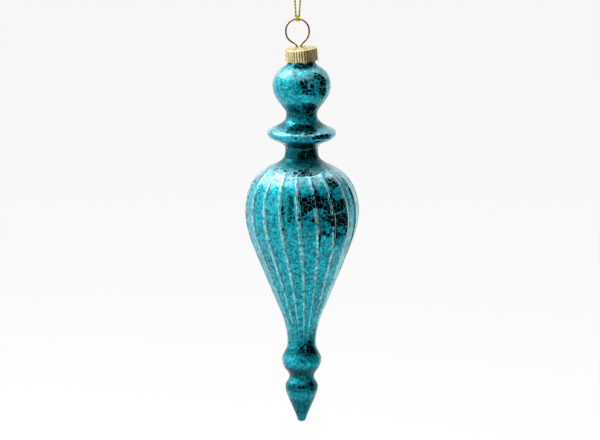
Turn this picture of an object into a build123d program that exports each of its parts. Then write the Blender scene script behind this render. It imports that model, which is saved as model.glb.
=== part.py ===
from build123d import *
import os
from math import acos, atan2, cos, degrees, radians, sin

# A blown-glass finial ornament that hangs from a thread.
# Millimetres, +Z up. The origin is the hanging point: the middle of the wire at the top of the
# hanger ring, where the knotted thread carries the weight. The ring lies in the XZ plane.

# Hanger: one spring wire, a ring above the cap and two splayed legs inside the neck.
WIRE_D = 0.85
RING_R = 5.80
RING_SIDE = 0.70
LEFT_PINCH = (-0.20, -13.45)
RIGHT_PINCH = (1.70, -13.15)
LEFT_FOOT = (-2.75, -35.00)
RIGHT_FOOT = (6.55, -35.00)
PINCH_BEND_R = 1.00

# Crown cap: a domed cup with a flared, scalloped skirt, pushed on askew.
CAP_X = 2.05
CAP_RIM_Z = -14.70
CAP_LEAN = 4.4
CAP_WALL = 0.35
CAP_TOP_R = 7.95
CAP_BOTTOM_R = 8.25
CAP_SKIRT = 7.10
CAP_DOME = 1.00
CAP_ROUND = 0.60
CAP_POINTS = 9
CAP_SLOPE = (1, -0.25)
SCALLOP_DEPTH = 1.10
SLOT_LENGTH = 6.00
SLOT_WIDTH = 1.40

# Glass: one hollow shell turned about its own upright axis, with a solid pulled tip.
GLASS_X = 2.10
GLASS_WALL = 1.00
NECK_R = 6.80
NECK_TOP_Z = -15.75
NECK_FOOT_Z = -21.40
BALL_R, BALL_Z = 14.70, -33.60
UPPER_NECK_R, UPPER_NECK_Z = 7.80, -48.25
FLANGE_R, FLANGE_Z = 17.25, -57.50
LOWER_NECK_R, LOWER_NECK_Z = 8.15, -65.50
BODY_R, BODY_Z = 28.25, -97.25
STEM_R, STEM_Z = 7.10, -163.50
KNOB_R, KNOB_Z = 9.90, -172.25
WAIST_R, WAIST_Z = 6.15, -181.25
DROP_R, DROP_Z = 8.15, -186.00
TIP_R, TIP_Z = 2.20, -204.50
TIP_ROUND = 0.90
HOLLOW_END_Z = -195.00

# Glass outline between those places: the few radii and heights that its curves pass through.
ABOVE_BALL = ((10.00, -24.50),)
BELOW_BALL = ((11.50, -41.75),)
ABOVE_FLANGE = ((12.50, -54.00),)
BELOW_FLANGE = ((12.50, -61.50),)
ABOVE_BODY = ((8.75, -69.50), (16.00, -74.50), (24.00, -81.50))
BELOW_BODY = ((22.00, -120.75), (12.00, -144.75))
ABOVE_KNOB = ((8.25, -168.25),)
BELOW_KNOB = ((8.25, -177.25),)
BELOW_DROP = ((6.50, -192.50), (3.50, -199.50))

# Lining: the mirror coat on the inside of the glass, from just under the neck down.
LINING_T = 0.20
OFFSET_STEPS = 16

# Thread: a half knot round the wire, and a narrow loop above it that goes over a hook.
THREAD_D = 1.00
KNOT_LENGTH = 2.50
KNOT_R = 1.20
KNOT_BORE_R = 0.68
KNOT_TOP_R = 1.42
KNOT_TOP_Z = 2.00
STRAND_X = 0.85
LOOP_TOP_X, LOOP_TOP_Z = 3.40, 42.00
LOOP_ROUND_R = 3.06

BIG = 60.0
PLUMB = (0, -1)
TIP_SLOPE = (-0.3, -1)
EVEN = (1, 1)


# ---------------------------------------------------------------- wire hanger

def ring_tangent(pinch, low_z, side):
    """Angle and place where the straight run from a pinch point meets the ring's lower arc."""
    reach = Vector(pinch[0], pinch[1] - low_z)
    angle = degrees(atan2(reach.Y, reach.X) + side * acos(RING_R / reach.length))
    place = (RING_R * cos(radians(angle)), low_z + RING_R * sin(radians(angle)))
    return angle, place


def wire_path():
    """The bent wire's centre line, from the left foot round the ring to the right foot."""
    low_z = -RING_R - RING_SIDE
    left_angle, left_place = ring_tangent(LEFT_PINCH, low_z, -1)
    right_angle, right_place = ring_tangent(RIGHT_PINCH, low_z, 1)
    left_turn = -180 - left_angle
    runs = FilletPolyline(LEFT_FOOT, LEFT_PINCH, left_place, radius=PINCH_BEND_R).edges()
    runs += CenterArc((0, low_z), RING_R, left_angle, left_turn).edges()
    runs += Line((-RING_R, low_z), (-RING_R, -RING_R)).edges()
    runs += CenterArc((0, -RING_R), RING_R, 180, -180).edges()
    runs += Line((RING_R, -RING_R), (RING_R, low_z)).edges()
    runs += CenterArc((0, low_z), RING_R, 0, right_angle).edges()
    runs += FilletPolyline(right_place, RIGHT_PINCH, RIGHT_FOOT, radius=PINCH_BEND_R).edges()
    return Plane.XZ * Wire(runs)


def wire_hanger():
    path = wire_path()
    section = Plane(origin=path @ 0, z_dir=path % 0) * Circle(WIRE_D / 2)
    return sweep(section, path=path)


# ---------------------------------------------------------------- crown cap

def cap_outline():
    """Half section of the cup about its own axis, with the rim corner at height 0."""
    top = CAP_TOP_R - CAP_ROUND
    outside = [
        Spline((0, CAP_DOME), (top, 0), tangents=[(1, 0), CAP_SLOPE]),
        Spline((top, 0), (CAP_TOP_R, -CAP_ROUND), tangents=[CAP_SLOPE, (0, -1)]),
        Line((CAP_TOP_R, -CAP_ROUND), (CAP_BOTTOM_R, -CAP_SKIRT)),
    ]
    inner_top = top - CAP_WALL / 2
    inside = [
        Spline((0, CAP_DOME - CAP_WALL), (inner_top, -CAP_WALL), tangents=[(1, 0), CAP_SLOPE]),
        Spline((inner_top, -CAP_WALL), (CAP_TOP_R - CAP_WALL, -CAP_ROUND - CAP_WALL / 2),
               tangents=[CAP_SLOPE, (0, -1)]),
        Line((CAP_TOP_R - CAP_WALL, -CAP_ROUND - CAP_WALL / 2),
             (CAP_BOTTOM_R - CAP_WALL, -CAP_SKIRT)),
    ]
    ends = [
        Line((CAP_BOTTOM_R, -CAP_SKIRT), (CAP_BOTTOM_R - CAP_WALL, -CAP_SKIRT)),
        Line((0, CAP_DOME), (0, CAP_DOME - CAP_WALL)),
    ]
    return make_face(Plane.XZ * (Curve() + outside + inside + ends))


def scallops():
    """Arches that leave a ring of points along the skirt's lower edge."""
    step = 360 / CAP_POINTS
    half_width = CAP_BOTTOM_R * sin(radians(step / 2))
    arch_r = (half_width ** 2 + SCALLOP_DEPTH ** 2) / (2 * SCALLOP_DEPTH)
    arch = Plane.YZ * Cylinder(arch_r, CAP_BOTTOM_R * 2, align=(Align.CENTER, Align.CENTER, Align.MIN))
    arch = Pos(0, 0, -CAP_SKIRT + SCALLOP_DEPTH - arch_r) * arch
    return [Rot(0, 0, step * turn) * arch for turn in range(CAP_POINTS)]


def crown_cap():
    cup = revolve(cap_outline(), Axis.Z)
    slot = Pos(0, 0, CAP_DOME) * extrude(SlotOverall(SLOT_LENGTH, SLOT_WIDTH), 2 * CAP_DOME, both=True)
    cup = cup - slot - scallops()
    lean_z = CAP_RIM_Z - CAP_SKIRT / 2
    return Pos(CAP_X, 0, lean_z) * Rot(0, -CAP_LEAN, 0) * Pos(0, 0, CAP_SKIRT / 2) * cup


# ---------------------------------------------------------------- glass

def span(top, bottom, *between):
    """A smooth run of the glass outline between two places where its side is upright."""
    return Spline(top, *between, bottom, tangents=[PLUMB, PLUMB], tangent_scalars=EVEN)


def outer_runs():
    """The outside of the glass, from the foot of the neck down to the drop's widest place."""
    ball = (BALL_R, BALL_Z)
    upper_neck = (UPPER_NECK_R, UPPER_NECK_Z)
    flange = (FLANGE_R, FLANGE_Z)
    lower_neck = (LOWER_NECK_R, LOWER_NECK_Z)
    body = (BODY_R, BODY_Z)
    stem = (STEM_R, STEM_Z)
    knob = (KNOB_R, KNOB_Z)
    waist = (WAIST_R, WAIST_Z)
    drop = (DROP_R, DROP_Z)
    return [
        span((NECK_R, NECK_FOOT_Z), ball, *ABOVE_BALL),
        span(ball, upper_neck, *BELOW_BALL),
        span(upper_neck, flange, *ABOVE_FLANGE),
        span(flange, lower_neck, *BELOW_FLANGE),
        span(lower_neck, body, *ABOVE_BODY),
        span(body, stem, *BELOW_BODY),
        span(stem, knob, *ABOVE_KNOB),
        span(knob, waist, *BELOW_KNOB),
        span(waist, drop),
    ]


def moved_in(run, depth):
    """A run moved squarely inwards by depth; the glass is on the left of its way down."""
    places = []
    for step in range(OFFSET_STEPS + 1):
        along = step / OFFSET_STEPS
        way = run % along
        places.append(run @ along + Vector(way.Y, -way.X) * depth)
    return Spline(*places, tangents=[run % 0, run % 1], tangent_scalars=EVEN)


def tip_runs():
    """The outside of the solid tip, from the drop's widest place to a small round end."""
    edge = (TIP_R, TIP_Z + TIP_ROUND)
    return [
        Spline((DROP_R, DROP_Z), *BELOW_DROP, edge, tangents=[PLUMB, TIP_SLOPE]),
        Spline(edge, (0, TIP_Z), tangents=[TIP_SLOPE, (-1, 0)]),
    ]


def hollow_end(depth):
    """The rounded bottom of the hollow, moved in by depth."""
    edge = DROP_R - GLASS_WALL - depth
    low = HOLLOW_END_Z + depth
    return Spline((edge, DROP_Z), (0, low), tangents=[PLUMB, (-1, 0)])


def turned(runs):
    """A solid of revolution about the glass axis from a closed half outline."""
    outline = make_face(Plane.XZ * Wire(runs))
    return Pos(GLASS_X, 0, 0) * revolve(outline, Axis.Z, clean=False)


def glass_shell():
    outside = outer_runs()
    inside = [moved_in(run, GLASS_WALL) for run in outside]
    bore_r = NECK_R - GLASS_WALL
    rim = [
        Line((bore_r, NECK_TOP_Z), (NECK_R, NECK_TOP_Z)),
        Line((NECK_R, NECK_TOP_Z), (NECK_R, NECK_FOOT_Z)),
        Line((bore_r, NECK_TOP_Z), (bore_r, NECK_FOOT_Z)),
    ]
    axis_line = Line((0, HOLLOW_END_Z), (0, TIP_Z))
    return turned(rim + outside + inside + tip_runs() + [hollow_end(0), axis_line])


def silver_lining():
    outer = [moved_in(run, GLASS_WALL) for run in outer_runs()]
    inner = [moved_in(run, GLASS_WALL + LINING_T) for run in outer_runs()]
    bore_r = NECK_R - GLASS_WALL
    lip = Line((bore_r - LINING_T, NECK_FOOT_Z), (bore_r, NECK_FOOT_Z))
    axis_line = Line((0, HOLLOW_END_Z), (0, HOLLOW_END_Z + LINING_T))
    return turned([lip, *outer, *inner, hollow_end(0), hollow_end(LINING_T), axis_line])


# ---------------------------------------------------------------- thread

def thread_knot():
    """The half knot: a short barrel round the wire under a round pad that the strands leave."""
    barrel = Plane.YZ * Cylinder(KNOT_R, KNOT_LENGTH)
    pad = Cylinder(KNOT_TOP_R, KNOT_TOP_Z, align=(Align.CENTER, Align.CENTER, Align.MIN))
    bore = Plane.YZ * Cylinder(KNOT_BORE_R, 2 * KNOT_LENGTH)
    return barrel + pad - bore


def thread_loop():
    """The loop above the knot: two nearly straight strands and a round top."""
    lean = (LOOP_TOP_X - STRAND_X) / (LOOP_TOP_Z - KNOT_TOP_Z)
    foot = (STRAND_X - lean, KNOT_TOP_Z - 1)
    route = [
        (-foot[0], foot[1]),
        (-LOOP_TOP_X, LOOP_TOP_Z),
        (LOOP_TOP_X, LOOP_TOP_Z),
        foot,
    ]
    path = Plane.XZ * FilletPolyline(*route, radius=LOOP_ROUND_R)
    section = Plane(origin=path @ 0, z_dir=path % 0) * Circle(THREAD_D / 2)
    tube = sweep(section, path=path)
    keep = Pos(0, 0, KNOT_TOP_Z) * Box(BIG, BIG, BIG, align=(Align.CENTER, Align.CENTER, Align.MIN))
    return tube & keep


PIECES = {
    "glass_shell": glass_shell,
    "silver_lining": silver_lining,
    "crown_cap": crown_cap,
    "wire_hanger": wire_hanger,
    "thread_knot": thread_knot,
    "thread_loop": thread_loop,
}

os.makedirs("parts", exist_ok=True)
for node, make in PIECES.items():
    solid = make()
    solid.label = node
    export_step(solid, f"parts/{node}.step")
    print(node, round(solid.volume, 2))
print("thread_loop: two arcs of radius", LOOP_ROUND_R, "mm, thread", THREAD_D, "mm")
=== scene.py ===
from math import acos, atan2, cos, pi, radians, sin, sqrt, tan

import bpy
import numpy as np
from mathutils import Matrix, Vector


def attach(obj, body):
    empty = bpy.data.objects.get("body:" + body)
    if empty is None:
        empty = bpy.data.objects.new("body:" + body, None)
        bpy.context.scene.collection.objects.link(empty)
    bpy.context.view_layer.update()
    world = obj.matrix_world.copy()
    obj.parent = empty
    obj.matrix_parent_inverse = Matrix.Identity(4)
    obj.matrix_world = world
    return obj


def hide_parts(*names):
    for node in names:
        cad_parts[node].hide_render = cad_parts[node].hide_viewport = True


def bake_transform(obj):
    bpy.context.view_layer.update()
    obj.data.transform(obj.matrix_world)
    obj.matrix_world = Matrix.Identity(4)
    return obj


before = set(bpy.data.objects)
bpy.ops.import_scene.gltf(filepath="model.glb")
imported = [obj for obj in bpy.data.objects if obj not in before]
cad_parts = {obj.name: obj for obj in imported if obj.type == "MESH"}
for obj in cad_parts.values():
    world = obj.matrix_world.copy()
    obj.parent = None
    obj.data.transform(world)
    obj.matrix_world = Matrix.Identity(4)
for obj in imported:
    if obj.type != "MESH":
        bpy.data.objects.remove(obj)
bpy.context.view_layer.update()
MM = 0.001

# ---------------------------------------------------------------- sizes (mm)
# As in the CAD model, apart from the cap's thinner wall and the tip's rounder end. The flutes and
# ribs are only here.

WIRE_D = 0.85
RING_R = 5.80
RING_SIDE = 0.70
LEFT_PINCH = (-0.20, -13.45)
RIGHT_PINCH = (1.70, -13.15)
LEFT_FOOT = (-2.75, -35.00)
RIGHT_FOOT = (6.55, -35.00)
PINCH_BEND_R = 1.00

CAP_X = 2.05
CAP_RIM_Z = -14.70
CAP_LEAN = 4.4
CAP_WALL = 0.30
CAP_TOP_R = 7.95
CAP_BOTTOM_R = 8.25
CAP_SKIRT = 7.10
CAP_DOME = 1.00
CAP_POINTS = 9
CAP_FLUTES = 36
FLUTE_DEPTH = 0.34
SCALLOP_DEPTH = 1.10
SLOT_LENGTH = 6.00
SLOT_WIDTH = 1.40

GLASS_X = 2.10
GLASS_WALL = 1.00
NECK_R = 6.80
NECK_TOP_Z = -15.75
HOLLOW_END_Z = -195.00
# places on the outline where the side is upright, as radius and height
NECK_FOOT = (6.80, -21.40)
BALL = (14.70, -33.60)
UPPER_NECK = (7.80, -48.25)
FLANGE = (17.25, -57.50)
LOWER_NECK = (8.15, -65.50)
BODY = (28.25, -97.25)
STEM = (7.10, -163.50)
KNOB = (9.90, -172.25)
WAIST = (6.15, -181.25)
DROP = (8.15, -186.00)
GLASS_RUNS = [
    [NECK_FOOT, (10.00, -24.50), BALL],
    [BALL, (11.50, -41.75), UPPER_NECK],
    [UPPER_NECK, (12.50, -54.00), FLANGE],
    [FLANGE, (12.50, -61.50), LOWER_NECK],
    [LOWER_NECK, (8.75, -69.50), (16.00, -74.50), (24.00, -81.50), BODY],
    [BODY, (22.00, -120.75), (12.00, -144.75), STEM],
    [STEM, (8.25, -168.25), KNOB],
    [KNOB, (8.25, -177.25), WAIST],
    [WAIST, DROP],
]
TIP_RUN = [DROP, (6.50, -192.50), (3.50, -199.50), (2.30, -202.70)]
TIP_SLOPE = (-0.29, -0.96)
TIP_R, TIP_Z, TIP_ROUND = 2.30, -204.50, 1.80
BODY_TOP_Z, BODY_LOW_Z = -71.0, -160.0
RIBS = 19
RIB_HEIGHT = 0.60
RIB_NARROW = 8.0
RIB_START = radians(-98)
RIB_TWIST = 0.28
RIB_SHADE_OFF = 1.0

THREAD_D = 1.00
STRAND_X = 0.85
KNOT_TOP_Z = 2.00
LOOP_TOP_X, LOOP_TOP_Z = 3.40, 42.00


# ---------------------------------------------------------------- shared mesh helpers

def mesh_object(name, places, faces):
    """A smooth-shaded mesh object from points in millimetres."""
    mesh = bpy.data.meshes.new(name)
    mesh.from_pydata([Vector(p) * MM for p in places], [], faces)
    mesh.update()
    mesh.polygons.foreach_set("use_smooth", [True] * len(mesh.polygons))
    made = bpy.data.objects.new(name, mesh)
    bpy.context.scene.collection.objects.link(made)
    return made


def grid_faces(rows, columns, closed_round=True, start=0):
    """Quads between rows of points, wrapped round where closed_round is true."""
    last = columns if closed_round else columns - 1
    return [
        (start + r * columns + c, start + r * columns + (c + 1) % columns,
         start + (r + 1) * columns + (c + 1) % columns, start + (r + 1) * columns + c)
        for r in range(rows - 1) for c in range(last)
    ]


def smooth_line(stations, count, first=None, last=None):
    """A natural cubic through the stations, as count evenly spread points. first and last, where
    given, are the directions at the two ends."""
    p = np.array(stations, float)
    t = np.concatenate([[0], np.cumsum(np.linalg.norm(np.diff(p, axis=0), axis=1))])
    n = len(p)
    h = np.diff(t)
    a = np.zeros((n, n))
    b = np.zeros_like(p)
    for i in range(1, n - 1):
        a[i, i - 1], a[i, i], a[i, i + 1] = 1 / h[i - 1], 2 / h[i - 1] + 2 / h[i], 1 / h[i]
        b[i] = 3 * ((p[i] - p[i - 1]) / h[i - 1] ** 2 + (p[i + 1] - p[i]) / h[i] ** 2)
    for i, j, gap, way in ((0, 1, h[0], first), (n - 1, n - 2, h[-1], last)):
        a[i, i], a[i, j] = (1, 0) if way is not None else (2, 1)
        b[i] = way if way is not None else 3 * (p[max(i, j)] - p[min(i, j)]) / gap
    slope = np.linalg.solve(a, b)
    s = np.linspace(0, t[-1], count)
    k = np.clip(np.searchsorted(t, s, side="right") - 1, 0, n - 2)
    u = ((s - t[k]) / h[k])[:, None]
    g = h[k][:, None]
    return ((1 + 2 * u) * (1 - u) ** 2 * p[k] + u * (1 - u) ** 2 * g * slope[k]
            + u * u * (3 - 2 * u) * p[k + 1] + u * u * (u - 1) * g * slope[k + 1])


def carried_frames(line):
    """Tangent, side and up at each point of a line, carried along without twist."""
    way = np.gradient(line, axis=0)
    way /= np.linalg.norm(way, axis=1)[:, None]
    side = np.cross(way[0], (0.0, 1.0, 0.03))
    sides = []
    for w in way:
        side = side - w * np.dot(side, w)
        side /= np.linalg.norm(side)
        sides.append(side)
    sides = np.array(sides)
    return way, sides, np.cross(way, sides)


def tube(line, radius, sides, shape=None):
    """Points and faces of a closed tube round a line. shape(step, angle) scales the radius."""
    way, side, up = carried_frames(line)
    places = []
    for i, middle in enumerate(line):
        for k in range(sides):
            angle = 2 * pi * k / sides
            r = radius * (shape(i, angle) if shape else 1.0)
            places.append(middle + r * (cos(angle) * side[i] + sin(angle) * up[i]))
    faces = grid_faces(len(line), sides)
    first, last = len(places), len(places) + 1
    low = (len(line) - 1) * sides
    places += [line[0] - way[0] * radius * 0.4, line[-1] + way[-1] * radius * 0.4]
    faces += [(first, (k + 1) % sides, k) for k in range(sides)]
    faces += [(last, low + k, low + (k + 1) % sides) for k in range(sides)]
    return places, faces


def joined(parts):
    """One list of points and faces from several."""
    places, faces = [], []
    for more_places, more_faces in parts:
        base = len(places)
        places += list(more_places)
        faces += [tuple(base + i for i in face) for face in more_faces]
    return places, faces


def paint(piece, material):
    """The piece's one material."""
    piece.data.materials.clear()
    piece.data.materials.append(material)


# ---------------------------------------------------------------- camera

VIEW_SIDE_MM = 300.0
CAMERA_AWAY = 5.00
CAMERA_RISE = 10.5
AIM = Vector((1.25, 0.0, -101.8)) * MM


def make_camera():
    camera = bpy.data.objects.new("camera", bpy.data.cameras.new("camera"))
    bpy.context.scene.collection.objects.link(camera)
    away = Vector((0, -cos(radians(CAMERA_RISE)), sin(radians(CAMERA_RISE))))
    camera.location = AIM + away * CAMERA_AWAY
    camera.rotation_euler = (-away).to_track_quat("-Z", "Y").to_euler()
    camera.data.sensor_width = 36
    camera.data.lens = 36 * CAMERA_AWAY / (VIEW_SIDE_MM * MM)
    bpy.context.scene.camera = camera


# ---------------------------------------------------------------- thread

THREAD_PITCH = 3.3
PLY_OFFSET = 0.22
FILAMENTS = 7


def two_ply(line):
    """Two plies laid round a line, each with the grooves of its filaments."""
    way, side, up = carried_frames(line)
    along = np.concatenate([[0], np.cumsum(np.linalg.norm(np.diff(line, axis=0), axis=1))])
    turn = 2 * pi * along / THREAD_PITCH
    ply_r = THREAD_D / 2 - PLY_OFFSET
    parts = []
    for start in (0.0, pi):
        lay = turn + start
        middle = line + PLY_OFFSET * (np.cos(lay)[:, None] * side + np.sin(lay)[:, None] * up)

        def groove(step, angle):
            return 1 - 0.09 * (1 + cos(FILAMENTS * (angle + 0.6 * turn[step])))

        parts.append(tube(middle, ply_r, 21, groove))
    return joined(parts)


def thread_route():
    """The loop's route: straight strands, with a point near each corner of its round top."""
    slope = (LOOP_TOP_X - STRAND_X) / (LOOP_TOP_Z - KNOT_TOP_Z)
    near = LOOP_TOP_Z - 6 * THREAD_D
    near_x = LOOP_TOP_X - slope * 6 * THREAD_D
    half = [(STRAND_X, KNOT_TOP_Z), (near_x, near), (LOOP_TOP_X, LOOP_TOP_Z)]
    return [(-x, 0, z) for x, z in half] + [(x, 0, z) for x, z in reversed(half)]


def spline_points(route):
    """Points along the route's NURBS spline."""
    curve = bpy.data.curves.new("thread_route", "CURVE")
    curve.dimensions = "3D"
    curve.resolution_u = 64
    spline = curve.splines.new("NURBS")
    spline.points.add(len(route) - 1)
    for point, place in zip(spline.points, route):
        point.co = (*place, 1)
    spline.order_u = 3
    spline.use_endpoint_u = True
    holder = bpy.data.objects.new("thread_route", curve)
    mesh = bpy.data.meshes.new_from_object(holder)
    line = np.array([v.co for v in mesh.vertices], float)
    bpy.data.objects.remove(holder)
    return line


def evenly(line, gap):
    """The same line with points about gap apart."""
    s = np.concatenate([[0], np.cumsum(np.linalg.norm(np.diff(line, axis=0), axis=1))])
    at = np.linspace(0, s[-1], int(s[-1] / gap) + 1)
    return np.column_stack([np.interp(at, s, line[:, k]) for k in range(3)])


def make_loop():
    line = evenly(spline_points(thread_route()), 0.15)
    loop = mesh_object("gold_thread_loop", *two_ply(line))
    paint(loop, thread_material())
    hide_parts("thread_loop")
    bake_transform(loop)
    length = float(np.linalg.norm(np.diff(line, axis=0), axis=1).sum()) * MM
    return loop, line * MM, length


def make_knot():
    """The half knot: each strand passes under the wire, and one turn binds them above it."""
    over = [
        (-0.88, 0.00, 2.10), (-0.62, -0.32, 1.45), (-0.10, -0.86, 0.85), (0.42, -0.98, 0.15),
        (0.58, -0.62, -0.55), (0.55, 0.05, -0.86), (0.42, 0.66, -0.50), (0.10, 0.92, 0.20),
        (-0.12, 0.60, 0.95), (-0.05, 0.15, 1.35),
    ]
    under = [
        (0.88, 0.00, 2.10), (0.70, -0.05, 1.50), (0.22, -0.42, 1.05), (-0.36, -0.78, 0.30),
        (-0.62, -0.62, -0.45), (-0.60, 0.05, -0.84), (-0.45, 0.66, -0.45), (-0.25, 0.88, 0.30),
        (0.12, 0.62, 0.98), (0.20, 0.20, 1.40),
    ]
    bind = [(1.0 * cos(a), 0.78 * sin(a), 1.48 + 0.10 * sin(a + 0.6))
            for a in np.linspace(0.4, 2 * pi + 0.2, 14)]
    strands = [two_ply(smooth_line(route, 90)) for route in (over, under, bind)]
    knot = mesh_object("gold_thread_knot", *joined(strands))
    paint(knot, thread_material())
    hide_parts("thread_knot")
    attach(knot, "knot")
    return knot


# ---------------------------------------------------------------- node helpers

class Nodes:
    """A short way to write a material's node tree."""

    def __init__(self, tree):
        self.tree = tree

    def add(self, kind, inputs=None, **settings):
        node = self.tree.nodes.new(kind)
        for key, value in settings.items():
            setattr(node, key, value)
        for key, value in (inputs or {}).items():
            self.feed(value, node.inputs[key])
        return node

    def feed(self, value, socket):
        if isinstance(value, bpy.types.NodeSocket):
            self.tree.links.new(value, socket)
        else:
            socket.default_value = value

    def maths(self, operation, a, b=0.0, clamp=False):
        return self.add("ShaderNodeMath", {0: a, 1: b}, operation=operation, use_clamp=clamp).outputs[0]

    def step(self, value, low, high, to_low=0.0, to_high=1.0):
        """A smooth step of value from low to high."""
        inputs = {"Value": value, "From Min": low, "From Max": high, "To Min": to_low, "To Max": to_high}
        return self.add("ShaderNodeMapRange", inputs, interpolation_type="SMOOTHSTEP").outputs[0]

    def blend(self, factor, a, b, kind="MIX"):
        node = self.add("ShaderNodeMix", data_type="RGBA", blend_type=kind)
        self.feed(factor, node.inputs[0])
        self.feed(a, node.inputs[6])
        self.feed(b, node.inputs[7])
        return node.outputs[2]

    def noise(self, place, scale, detail=3.0, rough=0.5, warp=0.0):
        inputs = {"Vector": place, "Scale": scale, "Detail": detail, "Roughness": rough,
                  "Distortion": warp}
        return self.add("ShaderNodeTexNoise", inputs).outputs[0]

    def cells(self, place, scale, feature="DISTANCE_TO_EDGE", spread=1.0):
        inputs = {"Vector": place, "Scale": scale, "Randomness": spread}
        return self.add("ShaderNodeTexVoronoi", inputs, feature=feature).outputs[0]


def new_material(name):
    material = bpy.data.materials.new(name)
    material.use_nodes = True
    tree = material.node_tree
    shader = tree.nodes["Principled BSDF"]
    nodes = Nodes(tree)
    place = nodes.add("ShaderNodeTexCoord").outputs["Object"]
    return material, nodes, shader, place


def set_all(shader, **values):
    for key, value in values.items():
        shader.inputs[key.replace("_", " ")].default_value = value


# ---------------------------------------------------------------- materials

def thread_material():
    if "gold_lurex_thread" in bpy.data.materials:
        return bpy.data.materials["gold_lurex_thread"]
    material, nodes, shader, place = new_material("gold_lurex_thread")
    glint = nodes.step(nodes.noise(place, 2600.0, 2.0), 0.42, 0.62)
    colour = nodes.blend(glint, (0.24, 0.16, 0.0, 1), (0.90, 0.74, 0.0, 1))
    nodes.feed(colour, shader.inputs["Base Color"])
    nodes.feed(nodes.step(glint, 0.0, 1.0, 0.60, 0.34), shader.inputs["Roughness"])
    set_all(shader, Metallic=0.35, Specular_IOR_Level=0.15)
    return material


def wire_material():
    material, nodes, shader, place = new_material("copper_gold_wire")
    wear_and_painted_highlight = nodes.step(nodes.noise(place, 420.0, 4.0), 0.40, 0.62)
    colour = nodes.blend(wear_and_painted_highlight, (0.20, 0.075, 0.012, 1), (0.50, 0.25, 0.035, 1))
    nodes.feed(colour, shader.inputs["Base Color"])
    drawn = nodes.noise(place, 1900.0, 2.0)
    nodes.feed(nodes.step(drawn, 0.3, 0.7, 0.20, 0.34), shader.inputs["Roughness"])
    bump = nodes.add("ShaderNodeBump", {"Height": drawn, "Strength": 0.15, "Distance": 0.00004})
    nodes.feed(bump.outputs[0], shader.inputs["Normal"])
    set_all(shader, Metallic=1.0)
    return material


def cap_material():
    material, nodes, shader, place = new_material("pale_gold_cap")
    streak_place = nodes.add("ShaderNodeMapping", {"Vector": place, "Scale": (1, 1, 0.35)}).outputs[0]
    streak = nodes.noise(streak_place, 620.0, 4.0, 0.6)
    tarnish = nodes.step(nodes.noise(place, 260.0, 5.0, 0.62), 0.50, 0.72)
    gold = nodes.blend(nodes.step(streak, 0.35, 0.65), (0.62, 0.49, 0.18, 1), (0.97, 0.85, 0.52, 1))
    colour = nodes.blend(nodes.maths("MULTIPLY", tarnish, 0.45), gold, (0.30, 0.19, 0.06, 1))
    nodes.feed(colour, shader.inputs["Base Color"])
    nodes.feed(nodes.step(streak, 0.3, 0.7, 0.44, 0.26), shader.inputs["Roughness"])
    bump = nodes.add("ShaderNodeBump", {"Height": streak, "Strength": 0.35, "Distance": 0.00012})
    nodes.feed(bump.outputs[0], shader.inputs["Normal"])
    set_all(shader, Metallic=1.0)
    return material


def silver_material():
    material, nodes, shader, place = new_material("antiqued_silver_lining")
    fox = nodes.step(nodes.noise(place, 210.0, 5.0, 0.6), 0.52, 0.66)
    colour = nodes.blend(fox, (0.80, 0.81, 0.80, 1), (0.22, 0.19, 0.15, 1))
    nodes.feed(colour, shader.inputs["Base Color"])
    nodes.feed(nodes.step(fox, 0.0, 1.0, 0.12, 0.5), shader.inputs["Roughness"])
    set_all(shader, Metallic=1.0)
    return material


# painted shade in bands round the necks, stem, waist, drop and tip, and painted highlight in bands round
# the ball, flange and shoulder:
# height (mm), half the band's width (mm), strength
PAINTED_SHADE_BANDS = [(-21.5, 3.0, 0.7), (-46.0, 7.0, 0.8), (-52.5, 2.6, 0.9), (-62.3, 3.5, 1.0), (-68.8, 7.5, 1.0),
          (-163.0, 8.0, 0.40), (-168.0, 3.2, 0.9), (-178.5, 5.0, 1.0), (-186.0, 5.0, 0.8),
          (-197.0, 11.0, 0.8)]
PAINTED_HIGHLIGHT_BANDS = [(-26.5, 4.0, 0.22), (-55.8, 2.0, 0.25), (-76.8, 5.0, 0.42)]


def bands(nodes, height, table):
    """The strongest of a set of soft bands round the glass."""
    total = 0.0
    for middle, half, strength in table:
        off = nodes.maths("ABSOLUTE", nodes.maths("SUBTRACT", height, middle * MM))
        band = nodes.step(off, 0.2 * half * MM, half * MM, strength, 0.0)
        total = nodes.maths("MAXIMUM", total, band)
    return total


def rib_lines(nodes, place, height):
    """The painted highlight line along each rib's ridge, and the painted shade line next to it."""
    axes = nodes.add("ShaderNodeSeparateXYZ", {0: place}).outputs
    across = nodes.maths("SUBTRACT", axes[0], GLASS_X * MM)
    angle = nodes.maths("ARCTAN2", axes[1], across)
    rate = RIB_TWIST / ((BODY_TOP_Z - BODY_LOW_Z) * MM)
    fall = nodes.maths("MULTIPLY", height, -rate)
    turn = nodes.maths("ADD", RIB_START + rate * BODY_TOP_Z * MM, fall)
    lap = nodes.maths("MULTIPLY", nodes.maths("SUBTRACT", angle, turn), RIBS)
    above_stem = nodes.step(height, -0.167, -0.145)
    under_shoulder = nodes.step(height, -0.079, -0.074, 1, 0)
    on_body = nodes.maths("MULTIPLY", above_stem, under_shoulder)
    crest_highlight = nodes.step(nodes.maths("COSINE", lap), 0.60, 1.0)
    beside_shade = nodes.step(nodes.maths("COSINE", nodes.maths("SUBTRACT", lap, RIB_SHADE_OFF)), 0.90, 1.0)
    return nodes.maths("MULTIPLY", crest_highlight, on_body), nodes.maths("MULTIPLY", beside_shade, on_body)


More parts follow.
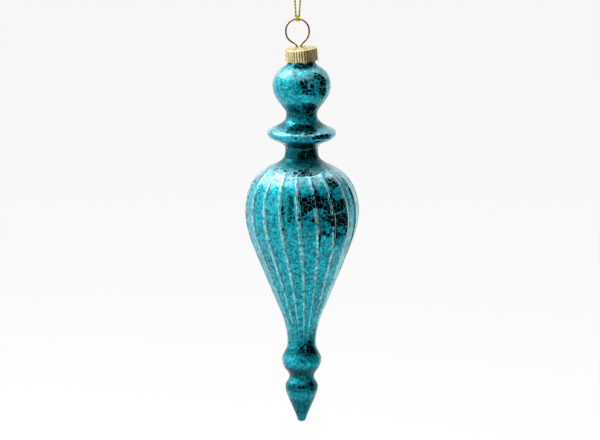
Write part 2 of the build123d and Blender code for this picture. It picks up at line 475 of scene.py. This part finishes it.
def glass_material():
    """Teal lacquer over crackled silver: mirror bubbles inside a web of duller cyan, with painted shade
    in the necks and next to each rib, and painted highlight on the shoulders and along each rib's ridge.
    """
    material, nodes, shader, place = new_material("teal_mercury_glass")
    axes = nodes.add("ShaderNodeSeparateXYZ", {0: place}).outputs
    side, height = axes[0], axes[2]
    drift_inputs = {"Vector": place, "Scale": 260.0, "Detail": 3.0}
    drift = nodes.add("ShaderNodeTexNoise", drift_inputs).outputs["Color"]
    shift = nodes.add("ShaderNodeVectorMath", {0: drift, 1: (0.5, 0.5, 0.5)}, operation="SUBTRACT")
    shift = nodes.add("ShaderNodeVectorMath", {0: shift.outputs[0], "Scale": 0.0042}, operation="SCALE")
    warped = nodes.add("ShaderNodeVectorMath", {0: place, 1: shift.outputs[0]}, operation="ADD")
    warped = warped.outputs[0]

    leftward = nodes.step(side, -0.016, 0.018, 0.10, -0.09)
    low = nodes.step(height, -0.125, -0.108, 0.10, 0.0)
    # painted shade: dark bands round the necks, stem, waist, drop and tip, which also thin the web and
    # the coat there
    painted_shade = bands(nodes, height, PAINTED_SHADE_BANDS)
    lean = nodes.maths("ADD", leftward, low)
    lean = nodes.maths("SUBTRACT", lean, nodes.maths("MULTIPLY", painted_shade, 0.15))
    cover = nodes.maths("ADD", nodes.noise(place, 120.0, 3.0), lean)
    thick = nodes.step(cover, 0.40, 0.66, -0.025, 0.36)
    large = nodes.maths("SUBTRACT", nodes.cells(warped, 400.0), thick)
    large_web = nodes.step(large, 0.01, 0.08, 1.0, 0.0)
    small_thick = nodes.step(nodes.noise(place, 230.0, 2.0), 0.44, 0.66, 0.0, 0.26)
    small = nodes.maths("SUBTRACT", nodes.cells(warped, 860.0), small_thick)
    small_web = nodes.step(small, 0.01, 0.12, 1.0, 0.0)
    patch = nodes.step(nodes.noise(place, 120.0, 2.0), 0.50, 0.60)
    web = nodes.maths("MAXIMUM", large_web, nodes.maths("MULTIPLY", small_web, patch))

    # painted highlight: lighter bands round the ball, flange and shoulder, broken up by noise
    highlight_breakup = nodes.step(nodes.noise(place, 420.0, 4.0), 0.3, 0.6)
    wear_and_painted_highlight = nodes.maths("MULTIPLY", bands(nodes, height, PAINTED_HIGHLIGHT_BANDS), highlight_breakup)
    crest_highlight, beside_shade = rib_lines(nodes, place, height)
    grain = nodes.step(nodes.noise(place, 520.0, 5.0, 0.70), 0.38, 0.62)
    crest_highlight = nodes.maths("MULTIPLY", crest_highlight, grain)
    beside_shade = nodes.maths("MULTIPLY", beside_shade, nodes.step(nodes.noise(place, 300.0, 3.0), 0.40, 0.60))

    fox = nodes.step(nodes.noise(place, 130.0, 5.0, 0.62), 0.66, 0.76)
    tone = nodes.step(nodes.noise(place, 640.0, 6.0, 0.78), 0.36, 0.64)
    mirror = nodes.blend(tone, (0.0, 0.07, 0.11, 1), (0.004, 0.60, 0.72, 1))
    # painted shade: the mirror and the duller web darkened in those bands
    mirror = nodes.blend(nodes.maths("MULTIPLY", painted_shade, 0.90), mirror, (0.0, 0.01, 0.012, 1))
    dull = nodes.blend(tone, (0.0, 0.07, 0.11, 1), (0.002, 0.56, 0.67, 1))
    dull = nodes.blend(nodes.maths("MULTIPLY", painted_shade, 0.72), dull, (0.0, 0.05, 0.06, 1))
    colour = nodes.blend(web, mirror, dull)
    colour = nodes.blend(nodes.maths("MULTIPLY", fox, 0.5), colour, (0.10, 0.085, 0.075, 1))
    # painted shade: a dark line next to each rib
    colour = nodes.blend(nodes.maths("MULTIPLY", beside_shade, 0.75), colour, (0.05, 0.08, 0.08, 1))
    # painted highlight: lighter lines along the rib ridges, and the lighter shoulder bands
    painted_highlight_mask = nodes.maths("MAXIMUM", nodes.maths("MULTIPLY", crest_highlight, 0.60), wear_and_painted_highlight)
    colour = nodes.blend(painted_highlight_mask, colour, (0.60, 0.74, 0.75, 1))
    nodes.feed(colour, shader.inputs["Base Color"])
    nodes.feed(nodes.step(web, 0.0, 1.0, 0.05, 0.42), shader.inputs["Roughness"])
    nodes.feed(nodes.step(web, 0.1, 1.0, 1.0, 0.30), shader.inputs["Metallic"])
    relief = nodes.maths("ADD", nodes.maths("MULTIPLY", web, 0.4), nodes.noise(place, 300.0, 3.0))
    bump = nodes.add("ShaderNodeBump", {"Height": relief, "Strength": 0.30, "Distance": 0.00025})
    nodes.feed(bump.outputs[0], shader.inputs["Normal"])
    nodes.feed(nodes.step(painted_shade, 0.0, 1.0, 1.0, 0.25), shader.inputs["Coat Weight"])
    set_all(shader, Specular_IOR_Level=0.03, Coat_Roughness=0.03, Coat_IOR=1.24)
    return material


# ---------------------------------------------------------------- wire hanger

def ring_tangent(pinch, low_z, side):
    """Angle where the straight run from a pinch point meets the ring's lower arc."""
    x, z = pinch[0], pinch[1] - low_z
    return atan2(z, x) + side * acos(RING_R / sqrt(x * x + z * z))


def arc(centre_z, start, end, count):
    return [(RING_R * cos(a), centre_z + RING_R * sin(a)) for a in np.linspace(start, end, count)]


def eased(before, corner, after):
    """A rounded corner between two straight runs."""
    before, corner, after = (np.array(p, float) for p in (before, corner, after))
    first = (before - corner) / np.linalg.norm(before - corner)
    second = (after - corner) / np.linalg.norm(after - corner)
    turn = pi - acos(float(np.clip(np.dot(first, second), -1, 1)))
    reach = PINCH_BEND_R * tan(turn / 2)
    start, end = corner + first * reach, corner + second * reach
    return [tuple((1 - t) ** 2 * start + 2 * t * (1 - t) * corner + t * t * end)
            for t in np.linspace(0, 1, 9)]


def wire_line():
    low_z = -RING_R - RING_SIDE
    left = ring_tangent(LEFT_PINCH, low_z, -1)
    right = ring_tangent(RIGHT_PINCH, low_z, 1)
    left_arc = arc(low_z, left, -pi, 16)
    right_arc = arc(low_z, 0.0, right, 16)
    flat = [LEFT_FOOT] + eased(LEFT_FOOT, LEFT_PINCH, left_arc[0]) + left_arc
    flat += arc(-RING_R, pi, 0.0, 72) + right_arc
    flat += eased(right_arc[-1], RIGHT_PINCH, RIGHT_FOOT) + [RIGHT_FOOT]
    return evenly(np.array([(x, 0.0, z) for x, z in flat]), 0.22)


def make_hanger():
    hanger = mesh_object("sprung_wire_hanger", *tube(wire_line(), WIRE_D / 2, 20))
    paint(hanger, wire_material())
    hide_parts("wire_hanger")
    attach(hanger, "hanger")


# ---------------------------------------------------------------- crown cap

CAP_RIM_ROUND = 0.65
CAP_CROWN = CAP_DOME * 0.92
CAP_RAISE = 0.02


def cap_radius(drop):
    """Skirt radius at a distance below the rim, before the flutes."""
    return CAP_TOP_R + (CAP_BOTTOM_R - CAP_TOP_R) * drop / CAP_SKIRT


def cap_edge(angle):
    """How far the skirt reaches down at an angle: points with arches between them."""
    phase = (angle * CAP_POINTS / (2 * pi)) % 1.0
    return CAP_SKIRT - SCALLOP_DEPTH * sqrt(max(0.0, 1 - (2 * phase - 1) ** 2))


def make_cap():
    """The stamped cup: a domed top, a rounded rim, a fluted skirt and a row of points."""
    around = CAP_FLUTES * 12
    dome_rows, rim_rows, skirt_rows = 10, 7, 20
    places = []
    rim = CAP_RIM_ROUND
    for i in range(1, dome_rows + 1):
        r = (CAP_TOP_R - rim) * i / dome_rows
        height = CAP_CROWN * (1 - (r / (CAP_TOP_R - rim)) ** 2) + CAP_RAISE
        places += [(r * cos(a), r * sin(a), height) for a in circle(around)]
    for i in range(1, rim_rows + 1):
        bend = pi / 2 * i / rim_rows
        for a in circle(around):
            flute = FLUTE_DEPTH * (i / rim_rows) ** 2 * flute_wave(a)
            r = CAP_TOP_R - rim + rim * sin(bend) - flute
            places.append((r * cos(a), r * sin(a), -rim * (1 - cos(bend)) + CAP_RAISE))
    for i in range(1, skirt_rows + 1):
        for a in circle(around):
            drop = rim + (cap_edge(a) - rim) * i / skirt_rows
            r = cap_radius(drop) - FLUTE_DEPTH * flute_wave(a)
            places.append((r * cos(a), r * sin(a), -drop))
    rows = dome_rows + rim_rows + skirt_rows
    faces = grid_faces(rows, around)
    places.append((0, 0, CAP_CROWN + CAP_RAISE))
    faces += [(len(places) - 1, (k + 1) % around, k) for k in range(around)]
    faces = [tuple(reversed(face)) for face in faces]
    cap = mesh_object("crown_cap_fluted", places, faces)
    thicken(cap, CAP_WALL)
    cut_slot(cap)
    lean = Matrix.Rotation(radians(-CAP_LEAN), 4, "Y")
    middle_z = CAP_RIM_Z - CAP_SKIRT / 2
    lift = Matrix.Translation(Vector((0, 0, CAP_SKIRT / 2)) * MM)
    cap.data.transform(Matrix.Translation(Vector((CAP_X, 0, middle_z)) * MM) @ lean @ lift)
    paint(cap, cap_material())
    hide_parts("crown_cap")
    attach(cap, "hanger")


def circle(count):
    return [2 * pi * k / count for k in range(count)]


def flute_wave(angle):
    """0 on a flute's ridge and 1 in the groove, with round ridges and tight grooves."""
    return 1 - abs(cos(angle * CAP_FLUTES / 2)) ** 0.8


def apply_modifiers(piece):
    bpy.context.view_layer.update()
    ready = piece.evaluated_get(bpy.context.evaluated_depsgraph_get())
    mesh = bpy.data.meshes.new_from_object(ready)
    old = piece.data
    piece.modifiers.clear()
    piece.data = mesh
    bpy.data.meshes.remove(old)


def thicken(piece, wall):
    shell = piece.modifiers.new("wall", "SOLIDIFY")
    shell.thickness = wall * MM
    shell.offset = -1
    apply_modifiers(piece)


def cut_slot(cap):
    """The slot in the cap's top that the wire legs pass through."""
    half, r = (SLOT_LENGTH - SLOT_WIDTH) / 2, SLOT_WIDTH / 2
    ring = [(half + r * cos(a), r * sin(a)) for a in np.linspace(-pi / 2, pi / 2, 15)]
    ring += [(-x, -y) for x, y in ring]
    count = len(ring)
    places = [(x, y, z) for z in (-2.0, 3.0) for x, y in ring]
    faces = grid_faces(2, count) + [tuple(reversed(range(count))), tuple(range(count, 2 * count))]
    cutter = mesh_object("slot_cutter", places, faces)
    cut = cap.modifiers.new("slot", "BOOLEAN")
    cut.operation = "DIFFERENCE"
    cut.solver = "EXACT"
    cut.object = cutter
    apply_modifiers(cap)
    bpy.data.objects.remove(cutter)


# ---------------------------------------------------------------- glass

GLASS_GAP, HOLLOW_GAP = 0.45, 1.50
GLASS_AROUND = 432
PLUMB = (0, -1)
MOUTH_LIP = 0.30
NECK_LOW_Z = -21.00
HOLLOW_DEPTH = 1.25  # past the silver lining, so that the coat lies within the wall
RIB_FADE_TOP, RIB_FADE_LOW = 9.0, 22.0
FULL_SIZE_R = 28.5


def rib_fade(z):
    """1 along the body and 0 above its shoulder and below its stem."""
    top = np.clip((BODY_TOP_Z - z) / RIB_FADE_TOP, 0, 1)
    low = np.clip((z - BODY_LOW_Z) / RIB_FADE_LOW, 0, 1)
    return (top * top * (3 - 2 * top)) * (low * low * (3 - 2 * low))


def wobble(angle, z):
    """The slight unevenness of blown glass."""
    return (0.10 * np.sin(2 * angle + z / 17.0) + 0.07 * np.sin(3 * angle - z / 11.0 + 1.0)
            + 0.04 * np.sin(5 * angle + z / 7.0 + 2.0))


def glass_line(runs, gap, last=PLUMB):
    """The outline through the runs, with points about gap apart."""
    parts = []
    for run in runs:
        length = np.linalg.norm(np.diff(np.array(run), axis=0), axis=1).sum()
        end = last if run is runs[-1] else PLUMB
        parts.append(smooth_line(run, int(length / gap) + 2, first=PLUMB, last=end)[:-1])
    return np.vstack(parts + [[runs[-1][-1]]])


def outer_skin():
    """Rows of points down the outside of the glass, ribbed along the body."""
    line = glass_line(GLASS_RUNS + [TIP_RUN], GLASS_GAP, TIP_SLOPE)
    angle = np.array(circle(GLASS_AROUND))
    rows = []
    for r, z in line:
        fade = rib_fade(z)
        size = min(1.0, r / FULL_SIZE_R)
        turn = RIB_START + RIB_TWIST * (BODY_TOP_Z - z) / (BODY_TOP_Z - BODY_LOW_Z)
        rib = np.exp(RIB_NARROW * (np.cos(RIBS * (angle - turn)) - 1) / 2)
        radius = r + RIB_HEIGHT * fade * size * (rib - 0.4) + wobble(angle, z) * size * 0.6
        rows.append(np.column_stack([radius * np.cos(angle), radius * np.sin(angle),
                                     np.full(GLASS_AROUND, z)]))
    return rows


def plain_row(r, z):
    angle = np.array(circle(GLASS_AROUND))
    return np.column_stack([r * np.cos(angle), r * np.sin(angle), np.full(GLASS_AROUND, z)])


def make_glass():
    """One closed shell: outside, rim, and the hollow's wall."""
    bore_r = NECK_R - GLASS_WALL
    lip_z = NECK_TOP_Z - MOUTH_LIP
    rim = [plain_row(NECK_R, z) for z in np.linspace(lip_z, NECK_LOW_Z, 14)]
    half_wall = GLASS_WALL / 2
    mouth = [plain_row(bore_r + half_wall + half_wall * cos(a), lip_z + MOUTH_LIP * sin(a))
             for a in np.linspace(pi, 0.15, 9)]
    outside = outer_skin()
    inner_line = glass_line(GLASS_RUNS, HOLLOW_GAP)
    way = np.gradient(inner_line, axis=0)
    way /= np.linalg.norm(way, axis=1)[:, None]
    inner_line = inner_line + np.column_stack([way[:, 1], -way[:, 0]]) * HOLLOW_DEPTH
    inside = [plain_row(r, z) for r, z in inner_line]
    edge_r, edge_z = inner_line[-1]
    end = [plain_row(edge_r * cos(t), edge_z + (HOLLOW_END_Z - edge_z) * sin(t))
           for t in np.linspace(0.1, pi / 2 - 0.08, 8)]
    bore = [plain_row(bore_r, z) for z in np.linspace(NECK_LOW_Z, lip_z, 6)]
    rows = list(reversed(end)) + list(reversed(inside)) + bore + mouth + rim + outside
    tip = [plain_row(TIP_R * cos(t), TIP_Z + TIP_ROUND * (1 - sin(t)))
           for t in np.linspace(0.2, pi / 2 - 0.1, 6)]
    rows += tip
    places = [tuple(p) for row in rows for p in row]
    faces = grid_faces(len(rows), GLASS_AROUND)
    faces = [tuple(reversed(face)) for face in faces]
    top, low = len(places), len(places) + 1
    places += [(0, 0, HOLLOW_END_Z), (0, 0, TIP_Z)]
    last = (len(rows) - 1) * GLASS_AROUND
    faces += [(top, k, (k + 1) % GLASS_AROUND) for k in range(GLASS_AROUND)]
    faces += [(low, last + (k + 1) % GLASS_AROUND, last + k) for k in range(GLASS_AROUND)]
    places = [(x + GLASS_X, y, z) for x, y, z in places]
    glass = mesh_object("teal_glass_finial", places, faces)
    paint(glass, glass_material())
    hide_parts("glass_shell")
    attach(glass, "glass")


# ---------------------------------------------------------------- studio

FLOOR_Z = -0.34
FLOOR_REACH = (6.0, 7.0)
PAPER = 0.93
SKY = 2.4
MIDDLE = (0.002, 0.0, -0.10)


def stage_material(name, colour, rough=0.8, glow=0.0):
    material = bpy.data.materials.new(name)
    material.use_nodes = True
    shader = material.node_tree.nodes["Principled BSDF"]
    set_all(shader, Base_Color=(*colour, 1), Roughness=rough, Specular_IOR_Level=0.0,
            Emission_Color=(1, 1, 1, 1), Emission_Strength=glow)
    return material


def flat_card(name, corners, material, reflected_only=False):
    """A flat stage piece from corners in metres."""
    card = mesh_object(name, [Vector(c) / MM for c in corners], [tuple(range(len(corners)))])
    card.data.materials.append(material)
    card.visible_shadow = False
    if reflected_only:
        card.visible_camera = False
        card.visible_diffuse = False


def make_floor():
    wide, deep = FLOOR_REACH
    corners = [(-wide, -deep, FLOOR_Z), (wide, -deep, FLOOR_Z),
               (wide, deep, FLOOR_Z), (-wide, deep, FLOOR_Z)]
    flat_card("pale_floor", corners, stage_material("pale_floor", (0.20, 0.20, 0.20), glow=0.71))
    low = FLOOR_Z + 0.01
    dark = [(-0.34, -0.56, low), (0.08, -0.50, low), (0.30, -0.24, low), (0.36, 0.25, low),
            (4.0, 1.2, low), (4.0, -4.0, low), (-2.2, -4.0, low)]
    flat_card("dark_room_floor", dark, stage_material("dark_room", (0.003, 0.003, 0.003)), True)


def make_world():
    """White all round, with a dark room in front and to the right that only the glass sees."""
    world = bpy.data.worlds.new("studio")
    bpy.context.scene.world = world
    world.use_nodes = True
    nodes = Nodes(world.node_tree)
    way = nodes.add("ShaderNodeTexCoord").outputs["Generated"]
    axes = nodes.add("ShaderNodeSeparateXYZ", {0: way}).outputs
    round_way = nodes.maths("ARCTAN2", axes[0], nodes.maths("MULTIPLY", axes[1], -1.0))
    rise = nodes.maths("ARCSINE", axes[2])
    left = nodes.step(round_way, radians(-42), radians(-18))
    right = nodes.step(round_way, radians(112), radians(124), 1.0, 0.0)
    roof = nodes.step(nodes.maths("SUBTRACT", rise, nodes.maths("MULTIPLY", round_way, 0.16)),
                      radians(34), radians(50), 1.0, 0.0)
    room = nodes.maths("MULTIPLY", nodes.maths("MULTIPLY", left, right), roof)
    high = nodes.step(rise, radians(42), radians(66), 0.0, SKY - PAPER)
    ahead = nodes.maths("MULTIPLY", nodes.step(round_way, radians(-55), radians(-5)), right)
    high = nodes.maths("MULTIPLY", high, nodes.step(ahead, 0.0, 1.0, 1.0, 0.25))
    sky = nodes.maths("ADD", high, PAPER)
    lit = nodes.blend(room, nodes.add("ShaderNodeCombineXYZ", {0: sky, 1: sky, 2: sky}).outputs[0],
                      (0.002, 0.002, 0.002, 1))
    seen = nodes.add("ShaderNodeLightPath").outputs["Is Camera Ray"]
    colour = nodes.blend(seen, lit, (PAPER, PAPER, PAPER, 1))
    nodes.feed(colour, world.node_tree.nodes["Background"].inputs[0])


def add_softbox(name, place, size, brightness):
    """A soft light aimed at the object; brightness is in times white paper."""
    light = bpy.data.lights.new(name, "AREA")
    light.shape = "RECTANGLE"
    light.size, light.size_y = size
    light.energy = brightness * pi * size[0] * size[1]
    holder = bpy.data.objects.new(name, light)
    bpy.context.scene.collection.objects.link(holder)
    holder.location = place
    holder.rotation_euler = (Vector(MIDDLE) - Vector(place)).to_track_quat("-Z", "Y").to_euler()


def make_studio():
    make_floor()
    make_world()
    add_softbox("upper_left_softbox", (-0.55, 0.14, 0.50), (0.56, 0.50), 9.0)
    add_softbox("front_strip", (0.42, -0.80, 0.16), (0.05, 0.60), 4.0)
    add_softbox("left_strip", (-0.80, -0.42, 0.10), (0.06, 0.70), 4.0)
    bpy.context.scene.view_settings.view_transform = "Standard"


make_camera()
loop, loop_line, loop_length = make_loop()
knot = make_knot()
make_hanger()
make_cap()
make_glass()
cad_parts["silver_lining"].data.materials.clear()
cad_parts["silver_lining"].data.materials.append(silver_material())
make_studio()
